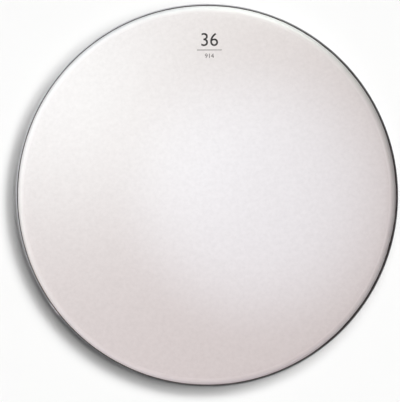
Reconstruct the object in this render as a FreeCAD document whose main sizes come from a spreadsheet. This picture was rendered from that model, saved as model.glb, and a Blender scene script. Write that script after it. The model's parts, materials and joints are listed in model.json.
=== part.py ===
import FreeCAD
import Part
import Sketcher

import math
import os

# A concert bass drum head, face up. The origin is the centre of the hoop's underside and +Z points
# out of the playing face. A coated polyester film is formed into a shallow cup. Its slotted edge
# stands in an aluminium channel rolled into a hoop, and resin poured into the channel locks it there.

# Driving sizes, in millimetres and degrees
SIZES = {
    "shell_diameter": (914.4, "outside of the drum shell that the head fits, 36 inch"),
    "shell_clearance": (2.0, "gap on the radius between the shell and the hoop's inner wall"),
    "hoop_width": (7.4, "channel, inner wall to outer wall"),
    "hoop_height": (10.0, "channel, underside to the top of the lip"),
    "inner_wall_drop": (2.0, "top of the inner wall below the top of the lip"),
    "strip_thickness": (0.8, "aluminium strip that the channel is rolled from"),
    "bend_flat": (0.7, "leg of the flat that stands for each outside bend of the strip"),
    "lip_width": (3.0, "turned-in lip, from the outer wall"),
    "joint_angle": (217.0, "place of the hoop's butt joint round the axis"),
    "joint_gap": (0.4, "gap left between the hoop's two ends"),
    "head_height": (24.5, "hoop's underside to the playing face"),
    "collar_inset": (4.2, "collar's corner inside the shell's outer surface"),
    "collar_bend": (12.0, "outside radius of the film at the collar's corner"),
    "film_thickness": (0.25, "polyester film"),
    "film_foot_gap": (1.8, "film's edge above the channel's floor"),
    "film_edge_offset": (1.1, "film's edge inside the channel's outer wall"),
    "slot_count": (18, "slots punched through the film's edge"),
    "slot_length": (36.0, "slot, along the film's edge"),
    "slot_margin": (1.3, "film under each slot, and resin above it"),
    "resin_drop": (0.6, "resin's level below the top of the inner wall"),
    "coat_thickness": (0.1, "white coat on the playing face"),
    "coat_margin": (0.8, "bare film between the coat and the collar's bend"),
}


class Size:
    """A size held twice, as a number and as the sheet formula that gives it."""

    def __init__(self, number, formula):
        self.number = number
        self.formula = formula

    def __add__(self, other):
        return Size(self.number + other.number, f"({self.formula} + {other.formula})")

    def __sub__(self, other):
        return Size(self.number - other.number, f"({self.formula} - {other.formula})")

    def __mul__(self, other):
        return Size(self.number * other.number, f"({self.formula} * {other.formula})")

    def __truediv__(self, other):
        return Size(self.number / other.number, f"({self.formula} / {other.formula})")

    def root(self):
        return Size(math.sqrt(self.number), f"sqrt({self.formula})")


ZERO = Size(0.0, "0")
TWO = Size(2.0, "2")
ONE_TURN = Size(360.0, "360")
DEGREES_PER_RADIAN = Size(180 / math.pi, "(180 / pi)")


def write_sheet(doc):
    """Puts the driving sizes in the document's sheet and returns them by name."""
    sheet = doc.addObject("Spreadsheet::Sheet", "Sizes")
    for row, (alias, (number, note)) in enumerate(SIZES.items(), start=1):
        sheet.set(f"A{row}", note)
        sheet.set(f"B{row}", str(number))
        sheet.setAlias(f"B{row}", alias)
    doc.recompute()
    return {alias: Size(number, f"Sizes.{alias}") for alias, (number, _) in SIZES.items()}


def origin_feature(body, role):
    return next(f for f in body.Origin.OriginFeatures if f.Role == role)


def add_sketch(body, name, plane_role):
    sketch = body.newObject("Sketcher::SketchObject", name)
    sketch.AttachmentSupport = [(origin_feature(body, plane_role), "")]
    sketch.MapMode = "FlatFace"
    return sketch


def fix_distance(sketch, direction, geometry, name, size):
    """Sets how far the start of a line lies from the sketch's origin, tied to the sheet."""
    if size is ZERO:
        axis = {"DistanceX": -2, "DistanceY": -1}[direction]
        sketch.addConstraint(Sketcher.Constraint("PointOnObject", geometry, 1, axis))
        return
    datum = Sketcher.Constraint(direction, -1, 1, geometry, 1, size.number)
    sketch.renameConstraint(sketch.addConstraint(datum), name)
    sketch.setExpression(f"Constraints.{name}", size.formula)


def draw_outline(sketch, corners):
    """Draws a closed outline of straight sides through corners given as name: (across, up)."""
    points = [FreeCAD.Vector(across.number, up.number, 0) for across, up in corners.values()]
    ends = points[1:] + points[:1]
    sides = [sketch.addGeometry(Part.LineSegment(*pair), False) for pair in zip(points, ends)]
    for i, (name, (across, up)) in enumerate(corners.items()):
        sketch.addConstraint(Sketcher.Constraint("Coincident", sides[i - 1], 2, sides[i], 1))
        fix_distance(sketch, "DistanceX", sides[i], f"{name}_across", across)
        fix_distance(sketch, "DistanceY", sides[i], f"{name}_up", up)
    return dict(zip(corners, sides))


def round_corner(sketch, side, name, radius):
    """Rounds the corner where a side starts. The sharp corner stays as a point that carries its sizes."""
    arc = len(sketch.Geometry)
    sketch.fillet(side, 1, radius.number, True, True)
    bend = sketch.addConstraint(Sketcher.Constraint("Radius", arc, radius.number))
    sketch.renameConstraint(bend, name)
    sketch.setExpression(f"Constraints.{name}", radius.formula)


def turn_section(doc, name, corners, bends=None, sweep=ONE_TURN):
    """Makes a body by turning a section, drawn as radius and height, about the axis of the head."""
    body = doc.addObject("PartDesign::Body", name)
    body.Label = name
    sketch = add_sketch(body, f"{name}_section", "XZ_Plane")
    sides = draw_outline(sketch, corners)
    for corner, radius in (bends or {}).items():
        round_corner(sketch, sides[corner], f"{corner}_bend", radius)
    turned = body.newObject("PartDesign::Revolution", f"{name}_turned")
    turned.Profile = sketch
    turned.ReferenceAxis = (sketch, ["V_Axis"])
    turned.setExpression("Angle", sweep.formula)
    doc.recompute()
    return body


def punch_slots(doc, body, size, foot, top):
    """Cuts a slot through the film's edge and repeats it round the axis, clear of the seam at +X."""
    half_length = size["slot_length"] / TWO
    sketch = add_sketch(body, "slot_outline", "YZ_Plane")
    sketch.AttachmentOffset = FreeCAD.Placement(FreeCAD.Vector(), FreeCAD.Rotation(FreeCAD.Vector(0, 1, 0), 1))
    half_pitch = ONE_TURN / size["slot_count"] / TWO
    sketch.setExpression(".AttachmentOffset.Rotation.Angle", half_pitch.formula)
    corners = {
        "right_foot": (half_length, foot),
        "right_top": (half_length, top),
        "left_top": (ZERO - half_length, top),
        "left_foot": (ZERO - half_length, foot),
    }
    draw_outline(sketch, corners)
    slot = body.newObject("PartDesign::Pocket", "slot")
    slot.Profile = sketch
    slot.Type = "ThroughAll"
    slot.Reversed = True
    doc.recompute()
    slots = body.newObject("PartDesign::PolarPattern", "slots")
    slots.Originals = [slot]
    slots.Axis = (origin_feature(body, "Z_Axis"), [""])
    slots.Angle = 360
    slots.setExpression("Occurrences", size["slot_count"].formula)
    body.Tip = slots
    doc.recompute()


doc = FreeCAD.newDocument("drum_head")
size = write_sheet(doc)

# Hoop: a channel open at the top. The outer wall is turned in as a lip, which keeps the resin down
# and gives the drum's counterhoop a flat seat. The strip's two ends meet in a butt joint.
strip = size["strip_thickness"]
flat = size["bend_flat"]
hoop_inner = size["shell_diameter"] / TWO + size["shell_clearance"]
hoop_outer = hoop_inner + size["hoop_width"]
hoop_top = size["hoop_height"]
inner_wall_top = hoop_top - size["inner_wall_drop"]
channel_inner = hoop_inner + strip
channel_outer = hoop_outer - strip
lip_edge = hoop_outer - size["lip_width"]
joint_sweep = size["joint_gap"] / hoop_outer * DEGREES_PER_RADIAN
hoop = turn_section(
    doc,
    "hoop_channel",
    {
        "inner_wall_crest": (hoop_inner, inner_wall_top),
        "inner_heel_side": (hoop_inner, flat),
        "inner_heel_foot": (hoop_inner + flat, ZERO),
        "outer_heel_foot": (hoop_outer - flat, ZERO),
        "outer_heel_side": (hoop_outer, flat),
        "shoulder_side": (hoop_outer, hoop_top - flat),
        "shoulder_top": (hoop_outer - flat, hoop_top),
        "lip_crest": (lip_edge, hoop_top),
        "lip_under": (lip_edge, hoop_top - strip),
        "outer_ceiling": (channel_outer, hoop_top - strip),
        "outer_floor": (channel_outer, strip),
        "inner_floor": (channel_inner, strip),
        "inner_wall_back": (channel_inner, inner_wall_top),
    },
    sweep=ONE_TURN - joint_sweep,
)
hoop.setExpression(".Placement.Rotation.Angle", size["joint_angle"].formula)

# Film: a flat face, a rounded collar over the drum's bearing edge, and a skirt that slopes down
# and out into the channel
film = size["film_thickness"]
film_top = size["head_height"] - size["coat_thickness"]
collar = size["shell_diameter"] / TWO - size["collar_inset"]
film_foot = strip + size["film_foot_gap"]
film_edge = channel_outer - size["film_edge_offset"]
skirt_run = film_edge - collar
skirt_drop = film_top - film_foot
skirt_length = (skirt_run * skirt_run + skirt_drop * skirt_drop).root()
tangent_of_half_bend = (skirt_length - skirt_run) / skirt_drop
resin_level = inner_wall_top - size["resin_drop"]
membrane = turn_section(
    doc,
    "membrane_film",
    {
        "face_centre": (ZERO, film_top),
        "collar_outside": (collar, film_top),
        "edge_outside": (film_edge, film_foot),
        "edge_inside": (
            film_edge - film * skirt_drop / skirt_length,
            film_foot - film * skirt_run / skirt_length,
        ),
        "collar_inside": (collar - film * tangent_of_half_bend, film_top - film),
        "back_centre": (ZERO, film_top - film),
    },
    bends={"collar_outside": size["collar_bend"], "collar_inside": size["collar_bend"] - film},
)
punch_slots(doc, membrane, size, film_foot + size["slot_margin"], resin_level - size["slot_margin"])

# Coat: a thin white layer sprayed on the flat of the face
coat_radius = collar - size["collar_bend"] * tangent_of_half_bend - size["coat_margin"]
coat = turn_section(
    doc,
    "face_coat",
    {
        "top_centre": (ZERO, size["head_height"]),
        "top_rim": (coat_radius, size["head_height"]),
        "foot_rim": (coat_radius, film_top),
        "foot_centre": (ZERO, film_top),
    },
)

# Resin: fills the channel to its level, round the film and through the film's slots
resin_pour = turn_section(
    doc,
    "resin_pour",
    {
        "inner_floor": (channel_inner, strip),
        "outer_floor": (channel_outer, strip),
        "outer_level": (channel_outer, resin_level),
        "inner_level": (channel_inner, resin_level),
    },
)
resin = doc.addObject("Part::Cut", "potting_resin")
resin.Label = "potting_resin"
resin.Base = resin_pour
resin.Tool = membrane
doc.recompute()

for item in doc.Objects:
    if "Invalid" in item.State or "Error" in item.State:
        raise RuntimeError(f"{item.Label} did not build: {item.State}")

os.makedirs("parts", exist_ok=True)
for piece in (hoop, membrane, coat, resin):
    shape = piece.Shape
    if shape.isNull() or not shape.isValid() or len(shape.Solids) != 1:
        raise RuntimeError(f"{piece.Label} is not one sound solid")
    shape.exportStep(os.path.join("parts", f"{piece.Label}.step"))
    print(piece.Label, "volume", round(shape.Volume), "mm3")
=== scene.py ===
import json
import math

import bmesh
import bpy
from mathutils import Matrix, Vector, noise


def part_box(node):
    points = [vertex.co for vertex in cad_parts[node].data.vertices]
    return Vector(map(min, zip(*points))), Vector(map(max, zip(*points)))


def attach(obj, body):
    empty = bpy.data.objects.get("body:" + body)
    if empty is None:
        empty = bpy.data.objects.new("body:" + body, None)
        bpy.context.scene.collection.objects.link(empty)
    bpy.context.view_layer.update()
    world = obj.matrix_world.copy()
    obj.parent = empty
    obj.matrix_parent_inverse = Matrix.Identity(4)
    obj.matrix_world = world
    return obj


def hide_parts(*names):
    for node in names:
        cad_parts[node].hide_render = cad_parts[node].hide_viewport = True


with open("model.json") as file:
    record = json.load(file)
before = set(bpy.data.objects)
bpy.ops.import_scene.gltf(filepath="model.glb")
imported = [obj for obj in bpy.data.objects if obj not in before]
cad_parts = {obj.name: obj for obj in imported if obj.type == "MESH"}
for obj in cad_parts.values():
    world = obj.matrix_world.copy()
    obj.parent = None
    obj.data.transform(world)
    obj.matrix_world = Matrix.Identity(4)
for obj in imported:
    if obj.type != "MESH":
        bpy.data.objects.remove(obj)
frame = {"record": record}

# A concert bass drum head, face up on a pale floor, seen almost from straight above as in the photograph.
# All sizes are in metres, in the frame of the solids: +Z out of the face, +Y up in the picture.
MM = 0.001
FULL_TURN = 2 * math.pi
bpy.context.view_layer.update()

# Sizes read from the frame
MOUNTS = {mount["name"]: mount for mount in frame["record"]["mounts"]}
HOOP_INNER = MOUNTS["shell_bore"]["dims"]["r_mm"] * MM
HOOP_OUTER = MOUNTS["counterhoop_register"]["dims"]["r_mm"] * MM
HOOP_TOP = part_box("hoop_channel")[1].z
FILM_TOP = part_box("membrane_film")[1].z
FILM_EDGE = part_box("membrane_film")[1].x
COAT_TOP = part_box("face_coat")[1].z
COAT_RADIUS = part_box("face_coat")[1].x
RESIN_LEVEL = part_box("potting_resin")[1].z
CHANNEL_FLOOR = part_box("potting_resin")[0].z
CHANNEL_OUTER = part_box("potting_resin")[1].x
STRIP = HOOP_OUTER - CHANNEL_OUTER
CHANNEL_INNER = HOOP_INNER + STRIP

# Hoop section
INNER_WALL_TOP = HOOP_TOP - 2.0 * MM
LIP_EDGE = HOOP_OUTER - 3.0 * MM
STRIP_BEND = 1.2 * MM
LIP_SLOPE = math.radians(14)
EDGE_ROUND = 0.12 * MM

# The hoop's butt joint and the level stretch of lip at each end of the strip
JOINT_ANGLE = math.radians(217)
JOINT_GAP = 0.4 * MM
FLAT_END_LENGTH = 18 * MM
FLAT_END_START = 0.7 * FLAT_END_LENGTH
FLAT_END_FADE = 0.5 * FLAT_END_LENGTH

# Film section
COLLAR_CORNER = 453.0 * MM
COLLAR_BEND = 12.0 * MM
FILM_THICKNESS = 0.25 * MM
FILM_FOOT = CHANNEL_FLOOR + 1.8 * MM
SLOT_MARGIN = 1.3 * MM
SLOT_TOP = RESIN_LEVEL - SLOT_MARGIN
SLOT_FOOT = FILM_FOOT + SLOT_MARGIN
SLOT_COUNT = 18
SLOT_LENGTH = 36 * MM

# Slack of the face, which comes back to its level over the outer part of the coat
FACE_DIP = 0.35 * MM
FACE_DIP_LEAST = 0.04 * MM
FACE_WAVE = 0.22
FACE_SEED = 3.7
FACE_SLACK_SHARE = 0.75

# Unevenness round the head. Each pair is the detail and the seed of a noise.
PUCKER_DEPTH = 0.10 * MM
PUCKER_START = FILM_TOP - 0.6 * COLLAR_BEND
PUCKER_COARSE = (14, 1.3)
PUCKER_FINE = (31, 5.1)
PUCKER_FINE_SHARE = 0.6
COAT_EDGE_WOBBLE = 0.35 * MM
COAT_EDGE_MEAN = 0.5
COAT_EDGE_COARSE = (23, 2.2)
COAT_EDGE_COARSE_SHARE = 0.35
COAT_EDGE_FINE = (60, 7.9)
COAT_EDGE_FINE_SHARE = 0.25
RESIN_SWAY_HEIGHT = 0.10 * MM
RESIN_SWAY = (9, 4.4)

# Surface of the poured resin
MENISCUS_HEIGHT = 0.30 * MM
MENISCUS_REACH = 0.35 * MM
# Stretches on the right where dark resin climbs the film, painted shade on the film's foot: middle, half
# width and fade in degrees, and height
PAINTED_SHADE_FILLETS = (
    (329, 18, 9, 3.7 * MM),
    (15, 30, 15, 1.5 * MM),
    (47, 11, 14, 2.2 * MM),
)
PAINTED_SHADE_FILLET_SLOPE = 1.6

# Fineness of the turned meshes
COLUMNS = 504
FACE_RINGS = 36
BEND_STEPS = 10
INSIDE_BEND_STEPS = 5
EDGE_STEPS = 3
FLOOR_STEPS = 3
INSIDE_WALL_STEPS = 3
OUTSIDE_WALL_STEPS = 4
SKIRT_STEPS = 8
COAT_EDGE_STEPS = 4
RESIN_STEPS = 12
WELD_DISTANCE = 0.001 * MM
SHARP_ANGLE = math.radians(38)


def ease(t):
    """Goes smoothly from 0 to 1 while t does."""
    t = min(max(t, 0.0), 1.0)
    return t * t * (3 - 2 * t)


def round_noise(angle, detail, seed):
    """A smooth value from about -1 to 1 that closes on itself round the head."""
    return noise.noise(Vector((math.cos(angle) * detail, math.sin(angle) * detail, seed)))


def bend(centre, radius, start, end, steps=BEND_STEPS):
    """Points of a round stretch of a section, from one angle to another in degrees."""
    points = []
    for i in range(steps + 1):
        turn = math.radians(start + (end - start) * i / steps)
        points.append((centre[0] + radius * math.cos(turn), centre[1] + radius * math.sin(turn)))
    return points


def between(start, end, steps):
    """Points that divide a straight stretch of a section, without its ends."""
    shares = [i / steps for i in range(1, steps)]
    return [(start[0] + (end[0] - start[0]) * t, start[1] + (end[1] - start[1]) * t) for t in shares]


def at_height(start, end, height):
    """The point of a straight stretch at a height."""
    share = (height - start[1]) / (end[1] - start[1])
    return (start[0] + (end[0] - start[0]) * share, height)


# Turned meshes
def slot_columns():
    """First and last column of each slot. The slots lie half a pitch clear of +X."""
    pitch = COLUMNS // SLOT_COUNT
    half = round(SLOT_LENGTH / FILM_EDGE / FULL_TURN * COLUMNS / 2)
    middles = [pitch * i + pitch // 2 for i in range(SLOT_COUNT)]
    return [(middle - half, middle + half) for middle in middles]


def turn(name, section_at, start=0.0, sweep=FULL_TURN, windows=None):
    """Turns a section about the axis. section_at(angle) gives its (radius, height) points, which close on
    themselves or start and end on the axis. windows names two facing strips of the section, each by its
    first point, that the slots go through."""
    closed_ring = sweep == FULL_TURN
    ring_count = COLUMNS if closed_ring else COLUMNS + 1
    vertices, index = [], {}
    for column in range(ring_count):
        angle = start + sweep * column / COLUMNS
        section = section_at(angle)
        for row, (radius, height) in enumerate(section):
            if radius == 0 and column > 0:
                index[row, column] = index[row, 0]
                continue
            index[row, column] = len(vertices)
            vertices.append((radius * math.cos(angle), radius * math.sin(angle), height))
    rows = len(section)
    on_axis = section[0][0] == 0
    strips = range(rows - 1) if on_axis else range(rows)
    cut = set()
    if windows:
        for first, last in slot_columns():
            cut.update(range(first, last))
    faces = []
    for column in range(COLUMNS):
        right = (column + 1) % ring_count
        for row in strips:
            if column in cut and row in windows:
                continue
            below = (row + 1) % rows
            corners = [index[row, column], index[below, column], index[below, right], index[row, right]]
            faces.append(list(dict.fromkeys(corners)))
    if windows:
        faces += window_walls(index, windows, ring_count)
    if not closed_ring:
        faces.append([index[row, 0] for row in range(rows)][::-1])
        faces.append([index[row, COLUMNS] for row in range(rows)])
    return mesh_object(name, vertices, faces)


def window_walls(index, windows, ring_count):
    """The four narrow walls of each slot, between the two strips that it goes through."""
    top_out, foot_in = windows
    foot_out, top_in = top_out + 1, foot_in + 1
    walls = []
    for first, last in slot_columns():
        for column in range(first, last):
            right = (column + 1) % ring_count
            walls.append([(top_out, column), (top_out, right), (top_in, right), (top_in, column)])
            walls.append([(foot_out, right), (foot_out, column), (foot_in, column), (foot_in, right)])
        walls.append([(foot_out, first), (top_out, first), (top_in, first), (foot_in, first)])
        walls.append([(top_out, last), (foot_out, last), (foot_in, last), (top_in, last)])
    return [[index[corner] for corner in wall] for wall in walls]


def mesh_object(name, vertices, faces):
    """A new object in the scene. Its mesh is welded and all its faces are turned outwards."""
    mesh = bpy.data.meshes.new(name)
    mesh.from_pydata(vertices, [], faces)
    mesh.validate()
    shape = bmesh.new()
    shape.from_mesh(mesh)
    bmesh.ops.remove_doubles(shape, verts=shape.verts, dist=WELD_DISTANCE)
    bmesh.ops.recalc_face_normals(shape, faces=shape.faces)
    shape.to_mesh(mesh)
    shape.free()
    mesh.shade_smooth()
    mesh.set_sharp_from_angle(angle=SHARP_ANGLE)
    piece = bpy.data.objects.new(name, mesh)
    bpy.context.scene.collection.objects.link(piece)
    return piece


# Sections
def face_dip(x, y):
    """How far the slack face lies below its highest level. It comes back to it at the collar."""
    wave = noise.noise(Vector((x / FACE_WAVE, y / FACE_WAVE, FACE_SEED)))
    share = 0.5 + 0.5 * wave
    past_slack = math.hypot(x, y) - FACE_SLACK_SHARE * COAT_RADIUS
    settle = 1 - ease(past_slack / ((1 - FACE_SLACK_SHARE) * COAT_RADIUS))
    return FACE_DIP_LEAST + FACE_DIP * share * settle


def face_radii(rim):
    return [rim * i / FACE_RINGS for i in range(FACE_RINGS + 1)]


def film_lines():
    """The collar bend's centre, the angle in degrees where that bend ends, and the straight skirt's two ends
    on the outside and on the inside of the film."""
    run = FILM_EDGE - COLLAR_CORNER
    drop = FILM_TOP - FILM_FOOT
    slope = math.atan2(drop, run)
    centre = (COLLAR_CORNER - COLLAR_BEND * math.tan(slope / 2), FILM_TOP - COLLAR_BEND)
    skirt_turn = 90 - math.degrees(slope)
    out = (math.sin(slope), math.cos(slope))
    top_outside = (centre[0] + COLLAR_BEND * out[0], centre[1] + COLLAR_BEND * out[1])
    foot_outside = (FILM_EDGE, FILM_FOOT)
    inset = (FILM_THICKNESS * out[0], FILM_THICKNESS * out[1])
    top_inside = (top_outside[0] - inset[0], top_outside[1] - inset[1])
    foot_inside = (foot_outside[0] - inset[0], foot_outside[1] - inset[1])
    return centre, skirt_turn, (top_outside, foot_outside), (top_inside, foot_inside)


FILM_CENTRE, SKIRT_TURN, OUTSIDE, INSIDE = film_lines()


def pucker(angle, height):
    """Small gathers that the formed skirt keeps between the collar and the resin."""
    share = (height - RESIN_LEVEL) / (PUCKER_START - RESIN_LEVEL)
    swell = ease(share * 2) * ease((1 - share) * 2) if 0 < share < 1 else 0.0
    gathers = round_noise(angle, *PUCKER_COARSE) + PUCKER_FINE_SHARE * round_noise(angle, *PUCKER_FINE)
    return PUCKER_DEPTH * swell * gathers


def film_side(line, bend_radius, face_height, angle):
    """One side of the film from the axis to its foot."""
    flat = []
    for radius in face_radii(FILM_CENTRE[0])[:-1]:
        dip = face_dip(radius * math.cos(angle), radius * math.sin(angle))
        flat.append((radius, face_height - dip))
    collar = bend(FILM_CENTRE, bend_radius, 90, SKIRT_TURN)
    resin_line = at_height(*line, RESIN_LEVEL)
    skirt = between(line[0], resin_line, SKIRT_STEPS) + [resin_line]
    foot = [at_height(*line, SLOT_TOP), at_height(*line, SLOT_FOOT), line[1]]
    points = []
    for i, (radius, height) in enumerate(collar + skirt):
        fade = max(0.0, 1 - i / BEND_STEPS)
        points.append((radius - pucker(angle, height), height - FACE_DIP_LEAST * fade))
    return flat + points + foot


def film_section(angle):
    outside = film_side(OUTSIDE, COLLAR_BEND, FILM_TOP, angle)
    inside = film_side(INSIDE, COLLAR_BEND - FILM_THICKNESS, FILM_TOP - FILM_THICKNESS, angle)
    return outside + inside[::-1]


def coat_section(angle):
    """The coat on the film's flat: its top, a rounded edge that wanders a little, and its underside."""
    coarse = COAT_EDGE_COARSE_SHARE * round_noise(angle, *COAT_EDGE_COARSE)
    fine = COAT_EDGE_FINE_SHARE * round_noise(angle, *COAT_EDGE_FINE)
    rim = COAT_RADIUS - COAT_EDGE_WOBBLE * (COAT_EDGE_MEAN + coarse + fine)
    half = (COAT_TOP - FILM_TOP) / 2
    top, underside = [], []
    for radius in face_radii(rim):
        dip = face_dip(radius * math.cos(angle), radius * math.sin(angle))
        top.append((radius, COAT_TOP - dip))
        underside.append((radius, FILM_TOP - dip))
    last = top.pop()
    edge = bend((last[0] - half, last[1] - half), half, 90, 0, COAT_EDGE_STEPS)
    return top + edge + underside[::-1]


def hoop_section(angle):
    """The rolled strip. Its lip slopes down and out, and lies level at the two ends of the strip."""
    from_joint = abs((angle - JOINT_ANGLE + math.pi) % FULL_TURN - math.pi) * HOOP_OUTER
    slope = LIP_SLOPE * ease((from_joint - FLAT_END_START) / FLAT_END_FADE)
    lip_turn = 90 - math.degrees(slope)
    half = STRIP / 2
    inside_bend = STRIP_BEND - STRIP
    outer_heel = (HOOP_OUTER - STRIP_BEND, STRIP_BEND)
    inner_heel = (HOOP_INNER + STRIP_BEND, STRIP_BEND)
    crest = (HOOP_INNER + half, INNER_WALL_TOP - half)
    lip = (LIP_EDGE + EDGE_ROUND, HOOP_TOP - EDGE_ROUND)
    depth = STRIP - 2 * EDGE_ROUND
    under_lip = (lip[0] - depth * math.sin(slope), lip[1] - depth * math.cos(slope))
    inset = STRIP_BEND - EDGE_ROUND
    reach = (HOOP_OUTER - STRIP_BEND - lip[0] + inset * math.sin(slope)) / math.cos(slope)
    shoulder = (HOOP_OUTER - STRIP_BEND, lip[1] - reach * math.sin(slope) - inset * math.cos(slope))
    section = bend(crest, half, 180, 0)
    section += bend(inner_heel, inside_bend, 180, 270, INSIDE_BEND_STEPS)
    section += between((inner_heel[0], STRIP), (outer_heel[0], STRIP), FLOOR_STEPS)
    section += bend(outer_heel, inside_bend, 270, 360, INSIDE_BEND_STEPS)
    section += between((CHANNEL_OUTER, STRIP_BEND), (CHANNEL_OUTER, shoulder[1]), INSIDE_WALL_STEPS)
    section += bend(shoulder, inside_bend, 0, lip_turn)
    section += bend(under_lip, EDGE_ROUND, lip_turn + 180, lip_turn + 90, EDGE_STEPS)
    section += bend(lip, EDGE_ROUND, lip_turn + 90, lip_turn, EDGE_STEPS)
    section += bend(shoulder, STRIP_BEND, lip_turn, 0)
    section += between((HOOP_OUTER, shoulder[1]), (HOOP_OUTER, STRIP_BEND), OUTSIDE_WALL_STEPS)
    section += bend(outer_heel, STRIP_BEND, 360, 270)
    section += between((outer_heel[0], 0), (inner_heel[0], 0), FLOOR_STEPS)
    section += bend(inner_heel, STRIP_BEND, 270, 180)
    section += between((HOOP_INNER, STRIP_BEND), (HOOP_INNER, crest[1]), OUTSIDE_WALL_STEPS)
    return section


def painted_shade_fillet(angle):
    """How far the resin climbs the outside of the film: a dark band that is painted shade on the film's foot
    at the right.
    """
    heights = []
    for middle, half_width, fade, height in PAINTED_SHADE_FILLETS:
        away = abs((math.degrees(angle) - middle + 180) % 360 - 180)
        heights.append(height * ease((half_width + fade - away) / fade))
    return max(heights)


def resin_section(angle):
    """The pour in the channel, notched for the film, with its surface drawn up at every wall. Over some
    stretches on the right it climbs the film further, as painted shade.
    """
    sway = RESIN_SWAY_HEIGHT * round_noise(angle, *RESIN_SWAY)
    film_outside = at_height(*OUTSIDE, RESIN_LEVEL + painted_shade_fillet(angle))
    film_inside = at_height(*INSIDE, RESIN_LEVEL)

    def surface(start, end, extra=0.0):
        width = end - start
        points = []
        for i in range(1, RESIN_STEPS):
            radius = start + width * ease(i / RESIN_STEPS)
            from_start, from_end = radius - start, end - radius
            climb = math.exp(-from_start / MENISCUS_REACH) + math.exp(-from_end / MENISCUS_REACH)
            middle = math.sin(math.pi * from_start / width)
            drop = MENISCUS_HEIGHT * (1 - min(climb, 1.0))
            rise = extra * math.exp(-from_start * PAINTED_SHADE_FILLET_SLOPE / extra) if extra > 0 else 0.0
            points.append((radius, RESIN_LEVEL - drop + sway * middle + rise))
        return points

    section = [(CHANNEL_INNER, CHANNEL_FLOOR), (CHANNEL_OUTER, CHANNEL_FLOOR), (CHANNEL_OUTER, RESIN_LEVEL)]
    # The resin's climb up the film here is painted shade
    section += surface(film_outside[0], CHANNEL_OUTER, painted_shade_fillet(angle))[::-1]
    section += [film_outside, at_height(*OUTSIDE, SLOT_TOP), at_height(*OUTSIDE, SLOT_FOOT), OUTSIDE[1]]
    section += [INSIDE[1], at_height(*INSIDE, SLOT_FOOT), at_height(*INSIDE, SLOT_TOP), film_inside]
    section += surface(CHANNEL_INNER, film_inside[0])[::-1]
    section += [(CHANNEL_INNER, RESIN_LEVEL)]
    return section


def slot_rows(section):
    """The rows of a section at the slots' tops on the outside and at their feet on the inside of the film."""
    def row_of(point):
        return min(range(len(section)), key=lambda i: math.dist(section[i], point))
    return row_of(at_height(*OUTSIDE, SLOT_TOP)), row_of(at_height(*INSIDE, SLOT_FOOT))


# Colours of each material, from its darker to its lighter places
COAT_TONES = ((0.83, 0.825, 0.82), (0.89, 0.885, 0.88))
FILM_TONES = ((0.87, 0.87, 0.865), (0.91, 0.91, 0.905))
METAL_TONES = ((0.66, 0.66, 0.69), (0.78, 0.78, 0.80))
RESIN_TONES = ((0.05, 0.045, 0.044), (0.09, 0.08, 0.077))
INK_TONES = ((0.015, 0.014, 0.014), (0.07, 0.068, 0.068))
FLOOR_TONES = ((0.90, 0.90, 0.895), (0.91, 0.91, 0.905))
FLOOR_BOUNCE = (0.3, 0.3, 0.3)

# Finish
MATT_SPECULAR = 0.25
FILED_METALLIC = 0.42
ROLLING_STRETCH = 0.02
BUBBLE_SPACING = 4 * MM
FLOOR_ROUGHNESS = 0.9


# Materials
def add_node(material, kind, inputs=None, **settings):
    """Adds a node. An input is a number, a colour or another node's output."""
    tree = material.node_tree
    made = tree.nodes.new(kind)
    for name, value in settings.items():
        setattr(made, name, value)
    for name, value in (inputs or {}).items():
        if isinstance(value, bpy.types.NodeSocket):
            tree.links.new(value, made.inputs[name])
        else:
            made.inputs[name].default_value = value
    return made


def start_material(name):
    """A material with a principled shader alone. Returns it, the shader and coordinates in metres."""
    material = bpy.data.materials.new(name)
    material.use_nodes = True
    shader = material.node_tree.nodes["Principled BSDF"]
    place = add_node(material, "ShaderNodeTexCoord").outputs["Object"]
    return material, shader, place


def join(material, output, shader, name):
    material.node_tree.links.new(output, shader.inputs[name])


def calculate(material, operation, first, second=0.0):
    """One operation on two values. Each is a number or another node's output."""
    made = add_node(material, "ShaderNodeMath", {0: first, 1: second}, operation=operation)
    return made.outputs["Value"]


def grain(material, place, size, detail=3.0, roughness=0.55):
    """Noise whose features are about the given size in metres, from 0 to 1."""
    inputs = {"Vector": place, "Scale": 1 / size, "Detail": detail, "Roughness": roughness}
    return add_node(material, "ShaderNodeTexNoise", inputs).outputs["Fac"]


def spread(material, value, low=0, high=1, start=0.3, end=0.7):
    """Maps the part of a value from start to end onto the range from low to high."""
    inputs = {"Value": value, "From Min": start, "From Max": end, "To Min": low, "To Max": high}
    return add_node(material, "ShaderNodeMapRange", inputs).outputs["Result"]


def blend_colours(material, share, first, second):
    """Mixes two colours. Each is a colour or another node's output."""
    made = add_node(material, "ShaderNodeMix", data_type="RGBA")
    factor = next(socket for socket in made.inputs if socket.type == "VALUE")
    material.node_tree.links.new(share, factor)
    for socket, colour in zip([s for s in made.inputs if s.type == "RGBA"], (first, second)):
        if isinstance(colour, bpy.types.NodeSocket):
            material.node_tree.links.new(colour, socket)
        else:
            socket.default_value = (*colour, 1)
    return next(socket for socket in made.outputs if socket.type == "RGBA")


def relief(material, height, depth, under=None):
    """A bump of a real depth in metres."""
    inputs = {"Height": height, "Distance": depth, "Strength": 1.0}
    if under is not None:
        inputs["Normal"] = under
    return add_node(material, "ShaderNodeBump", inputs).outputs["Normal"]


def coat_material():
    """White sprayed coat: faint cloudy mottling, a fine toothy grain and a satin finish."""
    material, shader, place = start_material("white_coat")
    cloud = grain(material, place, size=9 * MM, detail=4, roughness=0.65)
    tooth = grain(material, place, size=0.6 * MM, detail=2)
    colour = blend_colours(material, spread(material, cloud), *COAT_TONES)
    join(material, colour, shader, "Base Color")
    join(material, spread(material, tooth, low=0.48, high=0.66), shader, "Roughness")
    join(material, relief(material, tooth, depth=0.02 * MM), shader, "Normal")
    shader.inputs["Specular IOR Level"].default_value = MATT_SPECULAR
    return material


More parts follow.
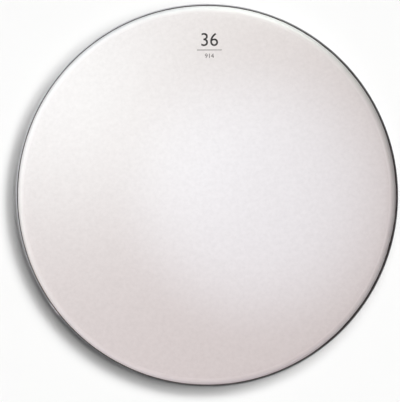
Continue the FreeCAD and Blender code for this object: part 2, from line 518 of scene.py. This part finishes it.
def film_material():
    """Hazy white polyester: semi-gloss, with clouding and fine scuffs."""
    material, shader, place = start_material("polyester_film")
    haze = grain(material, place, size=30 * MM, detail=3)
    scuff = grain(material, place, size=1.5 * MM, detail=4, roughness=0.7)
    colour = blend_colours(material, spread(material, haze), *FILM_TONES)
    join(material, colour, shader, "Base Color")
    join(material, spread(material, scuff, low=0.26, high=0.40), shader, "Roughness")
    join(material, relief(material, scuff, depth=0.01 * MM), shader, "Normal")
    return material


def hoop_material():
    """Rolled aluminium: lines along the hoop, soft dulling and small nicks. Its two ends are filed matt."""
    material, shader, place = start_material("hoop_aluminium")
    split = add_node(material, "ShaderNodeSeparateXYZ", {"Vector": place}).outputs
    level = add_node(material, "ShaderNodeCombineXYZ", {"X": split["X"], "Y": split["Y"]}).outputs["Vector"]
    radius = add_node(material, "ShaderNodeVectorMath", {0: level}, operation="LENGTH").outputs["Value"]
    angle = calculate(material, "ARCTAN2", split["Y"], split["X"])
    along = calculate(material, "MULTIPLY", angle, ROLLING_STRETCH)
    unrolled = {"X": radius, "Y": along, "Z": split["Z"]}
    rolled = add_node(material, "ShaderNodeCombineXYZ", unrolled).outputs["Vector"]
    lines = grain(material, rolled, size=0.35 * MM, detail=3, roughness=0.6)
    dull = grain(material, place, size=22 * MM, detail=3)
    nick = grain(material, place, size=3 * MM, detail=2)
    joint_turn = calculate(material, "SUBTRACT", angle, JOINT_ANGLE - FULL_TURN)
    distance = calculate(material, "ABSOLUTE", calculate(material, "MULTIPLY", joint_turn, HOOP_OUTER))
    inner_ramp = spread(material, distance, start=0.5 * MM, end=2 * MM)
    outer_ramp = spread(material, distance, 1, 0, start=0.8 * FLAT_END_LENGTH, end=1.1 * FLAT_END_LENGTH)
    filed = calculate(material, "MULTIPLY", inner_ramp, outer_ramp)
    colour = blend_colours(material, spread(material, dull), *METAL_TONES)
    join(material, colour, shader, "Base Color")
    join(material, spread(material, lines, low=0.26, high=0.44), shader, "Roughness")
    join(material, spread(material, filed, 1, FILED_METALLIC, start=0, end=1), shader, "Metallic")
    pressed = relief(material, spread(material, nick, start=0.22, end=0.32), depth=0.03 * MM)
    join(material, relief(material, lines, depth=0.008 * MM, under=pressed), shader, "Normal")
    return material


def resin_material():
    """Dark poured resin: glossy, a little cloudy, with small bubbles at its surface."""
    material, shader, place = start_material("resin")
    cloud = grain(material, place, size=12 * MM, detail=3)
    cells = add_node(material, "ShaderNodeTexVoronoi", {"Vector": place, "Scale": 1 / BUBBLE_SPACING})
    bubble = spread(material, cells.outputs["Distance"], start=0.05, end=0.16)
    colour = blend_colours(material, spread(material, cloud), *RESIN_TONES)
    join(material, colour, shader, "Base Color")
    join(material, spread(material, cloud, low=0.22, high=0.40), shader, "Roughness")
    join(material, relief(material, bubble, depth=0.08 * MM), shader, "Normal")
    return material


def ink_material():
    """Screen-printed ink: near black, with thin places where the coat's grain shows."""
    material, shader, place = start_material("print_ink")
    thin = grain(material, place, size=0.8 * MM, detail=3, roughness=0.7)
    colour = blend_colours(material, spread(material, thin, start=0.35, end=0.75), *INK_TONES)
    join(material, colour, shader, "Base Color")
    join(material, spread(material, thin, low=0.45, high=0.65), shader, "Roughness")
    shader.inputs["Specular IOR Level"].default_value = MATT_SPECULAR
    return material


def floor_material():
    """Plain floor: white when it is seen or mirrored, greyer in the light that it throws back."""
    material, shader, place = start_material("floor_white")
    cloud = grain(material, place, size=0.4)
    white = blend_colours(material, spread(material, cloud), *FLOOR_TONES)
    path = add_node(material, "ShaderNodeLightPath").outputs
    seen = calculate(material, "MAXIMUM", path["Is Camera Ray"], path["Is Glossy Ray"])
    join(material, blend_colours(material, seen, FLOOR_BOUNCE, white), shader, "Base Color")
    shader.inputs["Roughness"].default_value = FLOOR_ROUGHNESS
    shader.inputs["Specular IOR Level"].default_value = 0.0
    return material


# The printed size mark, with plain numbers only. A line is a text, its height and how far it lies above
# the mark's centre.
MARK_CENTRE = (10 * MM, 366 * MM)
MARK_THICKNESS = 0.02 * MM
MARK_LINES = (("36", 33 * MM, 14 * MM), ("914", 11 * MM, -26 * MM))
NUMBER_RESOLUTION = 8
CAPITAL_SHARE = 0.73
RULE_SIZE = (60 * MM, 1.4 * MM)
RULE_DROP = 13 * MM
RULE_STEPS = 24


def on_face(vertices):
    """Lays flat points, whose height counts from the coat, on the uneven coat."""
    return [(x, y, COAT_TOP - face_dip(x, y) + z) for x, y, z in vertices]


def number_mesh(text, height, centre_y):
    """Vertices and faces of printed numbers of a given letter height."""
    curve = bpy.data.curves.new("number", "FONT")
    curve.body = text
    curve.size = height / CAPITAL_SHARE
    curve.align_x = "CENTER"
    curve.extrude = MARK_THICKNESS / 2
    curve.resolution_u = NUMBER_RESOLUTION
    holder = bpy.data.objects.new("number", curve)
    bpy.context.scene.collection.objects.link(holder)
    bpy.context.view_layer.update()
    mesh = bpy.data.meshes.new_from_object(holder.evaluated_get(bpy.context.evaluated_depsgraph_get()))
    shift = (MARK_CENTRE[0], MARK_CENTRE[1] + centre_y - height / 2, MARK_THICKNESS / 2)
    vertices = [(v.co.x + shift[0], v.co.y + shift[1], v.co.z + shift[2]) for v in mesh.vertices]
    faces = [list(face.vertices) for face in mesh.polygons]
    bpy.data.objects.remove(holder)
    bpy.data.curves.remove(curve)
    bpy.data.meshes.remove(mesh)
    return vertices, faces


def rule_mesh():
    """A thin printed line under the large number, divided along its length."""
    length, width = RULE_SIZE
    outline = ((0, 0), (width, 0), (width, MARK_THICKNESS), (0, MARK_THICKNESS))
    corners = len(outline)
    vertices, faces = [], []
    for i in range(RULE_STEPS + 1):
        x = MARK_CENTRE[0] + length * (i / RULE_STEPS - 0.5)
        y = MARK_CENTRE[1] - RULE_DROP
        vertices += [(x, y + dy, z) for dy, z in outline]
    for i in range(RULE_STEPS):
        left, right = corners * i, corners * (i + 1)
        for k in range(corners):
            after = (k + 1) % corners
            faces.append([left + k, left + after, right + after, right + k])
    faces.append([0, 3, 2, 1])
    faces.append([corners * RULE_STEPS + k for k in range(corners)])
    return vertices, faces


def size_mark():
    vertices, faces = rule_mesh()
    for text, height, centre_y in MARK_LINES:
        more_vertices, more_faces = number_mesh(text, height, centre_y)
        faces += [[corner + len(vertices) for corner in face] for face in more_faces]
        vertices += more_vertices
    return mesh_object("size_mark", on_face(vertices), faces)


# The pieces of the head
joint_turn = JOINT_GAP / HOOP_OUTER
film_windows = slot_rows(film_section(0.0))
resin_windows = slot_rows(resin_section(0.0))
pieces = {
    "hoop": turn("hoop", hoop_section, JOINT_ANGLE + joint_turn / 2, FULL_TURN - joint_turn),
    "film": turn("film", film_section, windows=film_windows),
    "coat": turn("coat", coat_section),
    "resin_pour": turn("resin_pour", resin_section, windows=resin_windows),
    "size_mark": size_mark(),
}
looks = {
    "hoop": ("hoop_channel", "hoop_aluminium", hoop_material),
    "film": ("membrane_film", "polyester_film", film_material),
    "coat": ("face_coat", "white_coat", coat_material),
    "resin_pour": ("potting_resin", "resin", resin_material),
    "size_mark": (None, None, ink_material),
}
for name, (node, slot, make_material) in looks.items():
    piece = pieces[name]
    piece.data.materials.append(make_material())
    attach(piece, "root")
    if node:
        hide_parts(node)

# Floor
FLOOR_HALF = 20.0
FLOOR_DROP = 0.1 * MM
FLOOR_SIDES = ((-1, -1), (1, -1), (1, 1), (-1, 1))
floor_corners = [(FLOOR_HALF * x, FLOOR_HALF * y, -FLOOR_DROP) for x, y in FLOOR_SIDES]
floor = mesh_object("floor", floor_corners, [[0, 1, 2, 3]])
floor.data.materials.append(floor_material())

# Light: some lamps light the head alone, and a bank of suns casts the soft shadow on the floor alone
ORIGIN = (0, 0, 0)
WHITE = (1, 1, 1)
head_only = bpy.data.collections.new("lit_head")
for piece in pieces.values():
    head_only.objects.link(piece)
floor_only = bpy.data.collections.new("lit_floor")
floor_only.objects.link(floor)


def toward(azimuth, elevation):
    """Unit vector to a direction given in degrees, with azimuth from +X towards +Y."""
    swing, rise = math.radians(azimuth), math.radians(elevation)
    level = math.cos(rise)
    return Vector((level * math.cos(swing), level * math.sin(swing), math.sin(rise)))


def straight_below(place):
    return Vector((place.x, place.y, 0))


def add_lamp(name, kind, place, aim, energy, colour, receivers, **settings):
    """A lamp that lights the receivers alone. Neither the eye nor gloss sees the lamp itself."""
    lamp = bpy.data.lights.new(name, kind)
    lamp.energy = energy
    lamp.color = colour
    for key, value in settings.items():
        setattr(lamp, key, value)
    holder = bpy.data.objects.new(name, lamp)
    holder.location = place
    holder.rotation_mode = "QUATERNION"
    holder.rotation_quaternion = (Vector(aim) - Vector(place)).to_track_quat("-Z", "Y")
    holder.visible_camera = False
    holder.visible_glossy = False
    holder.light_linking.receiver_collection = receivers
    bpy.context.scene.collection.objects.link(holder)


# Lamps over the face
FILL_PLACE = Vector((0, 0, 2.6))
FILL_WATTS = 61.7
FILL_COLOUR = (1.0, 0.886, 0.875)
FILL_SIZE = 3.2
SPOT_PLACE = Vector((0.13, 0.0, 2.2))
SPOT_WATTS = 45.9
SPOT_COLOUR = (0.708, 0.863, 1.0)
SPOT_REACH = 0.38
SPOT_SOFTNESS = 0.05
PANEL_PLACE = Vector((-0.35, 0.25, 0.35))
PANEL_WATTS = 0.712
PANEL_COLOUR = (0.841, 0.992, 1.0)
PANEL_SIZE = 0.5
add_lamp("overhead_fill", "AREA", FILL_PLACE, ORIGIN, FILL_WATTS, FILL_COLOUR, head_only, size=FILL_SIZE)
spot_cone = {
    "spot_size": 2 * math.atan(SPOT_REACH / SPOT_PLACE.z),
    "spot_blend": 1.0,
    "shadow_soft_size": SPOT_SOFTNESS,
}
spot_aim = straight_below(SPOT_PLACE)
add_lamp("face_spot", "SPOT", SPOT_PLACE, spot_aim, SPOT_WATTS, SPOT_COLOUR, head_only, **spot_cone)
panel_aim = straight_below(PANEL_PLACE)
add_lamp("side_panel", "AREA", PANEL_PLACE, panel_aim, PANEL_WATTS, PANEL_COLOUR, head_only, size=PANEL_SIZE)

# Low lamps for the collar: azimuth, elevation, distance, watts and colour
RIM_LAMPS = {
    "top_rim": (76, 10, 1.0, 2.51, (0.923, 1.0, 0.935)),
    "left_rim": (187, 10, 2.4, 19.6, (1.0, 0.968, 0.947)),
    "corner_rim": (121, 8, 2.0, 6.6, (0.804, 0.859, 1.0)),
    "bottom_rim": (268, 10, 2.0, 7.3, (1.0, 0.838, 0.917)),
}
RIM_LAMP_SIZE = 0.3
for name, (azimuth, elevation, distance, watts, colour) in RIM_LAMPS.items():
    place = toward(azimuth, elevation) * distance
    add_lamp(name, "AREA", place, ORIGIN, watts, colour, head_only, size=RIM_LAMP_SIZE)

# Floor light: a bank of suns at the upper right, strongest and lowest in its middle
BANK_MIDDLE = 40
BANK_HALF_WIDTH = 80
BANK_STEP = 20
BANK_FADE = 95
BANK_RISE = 22
BANK_RISE_GAIN = 0.1
SUN_WIDTH = math.radians(11)
FLOOR_LIGHT = 3.34
offsets = range(-BANK_HALF_WIDTH, BANK_HALF_WIDTH + 1, BANK_STEP)
bank = {offset: 1 - abs(offset) / BANK_FADE for offset in offsets}
for offset, share in bank.items():
    rise = BANK_RISE + BANK_RISE_GAIN * abs(offset)
    strength = FLOOR_LIGHT * share / sum(bank.values()) / math.sin(math.radians(rise))
    place = toward(BANK_MIDDLE + offset, rise)
    add_lamp(f"shadow_sun_{offset}", "SUN", place, ORIGIN, strength, WHITE, floor_only, angle=SUN_WIDTH)

# World: white to the eye, dim as light on the floor, and graded from upper left to lower right in metal
METAL_SKY_SIDE = toward(140, 15)
METAL_SKY_SPAN = (-0.3, 0.65)
METAL_SKY_POWER = 3.5
METAL_SKY_RANGE = (0.012, 0.92)
DIM_SKY = 0.01
SEEN_SKY = 1.0
world = bpy.data.worlds.new("studio")
world.use_nodes = True
world.node_tree.nodes.clear()
bpy.context.scene.world = world


def sky(strength):
    """A white sky of a strength that is a number or another node's output."""
    return add_node(world, "ShaderNodeBackground", {"Color": (*WHITE, 1), "Strength": strength}).outputs[0]


def sky_for(ray, others, own):
    """Shows one sky to one kind of ray and another sky to all others."""
    return add_node(world, "ShaderNodeMixShader", {0: path[ray], 1: others, 2: own}).outputs[0]


path = add_node(world, "ShaderNodeLightPath").outputs
direction = add_node(world, "ShaderNodeTexCoord").outputs["Generated"]
facing = add_node(world, "ShaderNodeVectorMath", {0: direction, 1: METAL_SKY_SIDE}, operation="DOT_PRODUCT")
slope = spread(world, facing.outputs["Value"], start=METAL_SKY_SPAN[0], end=METAL_SKY_SPAN[1])
steep = calculate(world, "POWER", slope, METAL_SKY_POWER)
metal_sky = sky(spread(world, steep, *METAL_SKY_RANGE, start=0, end=1))
lighting = sky_for("Is Glossy Ray", sky(DIM_SKY), metal_sky)
add_node(world, "ShaderNodeOutputWorld", {"Surface": sky_for("Is Camera Ray", lighting, sky(SEEN_SKY))})

# Camera: above, leaning a few degrees to the right. The head lies right of and above the picture's middle.
PICTURE_WIDTH = 400
HOOP_RADIUS_IN_PICTURE = 191.449
CENTRE_IN_PICTURE = (5.617, 5.169)
CAMERA_LEAN = 3.9
CAMERA_SIDE = 22
CAMERA_DISTANCE = 4.0
SENSOR_WIDTH = 36.0
metres_per_pixel = HOOP_OUTER / HOOP_RADIUS_IN_PICTURE
camera_data = bpy.data.cameras.new("camera")
camera_data.sensor_fit = "HORIZONTAL"
camera_data.sensor_width = SENSOR_WIDTH
camera_data.lens = SENSOR_WIDTH * CAMERA_DISTANCE / (PICTURE_WIDTH * metres_per_pixel)
camera = bpy.data.objects.new("camera", camera_data)
aim_x, aim_y = (-offset * metres_per_pixel for offset in CENTRE_IN_PICTURE)
aim = Vector((aim_x, aim_y, HOOP_TOP))
back = toward(CAMERA_SIDE, 90 - CAMERA_LEAN)
right = Vector((0, 1, 0)).cross(back).normalized()
camera.location = aim + back * CAMERA_DISTANCE
camera.rotation_mode = "QUATERNION"
camera.rotation_quaternion = Matrix((right, back.cross(right), back)).transposed().to_quaternion()
bpy.context.scene.collection.objects.link(camera)
bpy.context.scene.camera = camera
bpy.context.scene.view_settings.view_transform = "Standard"
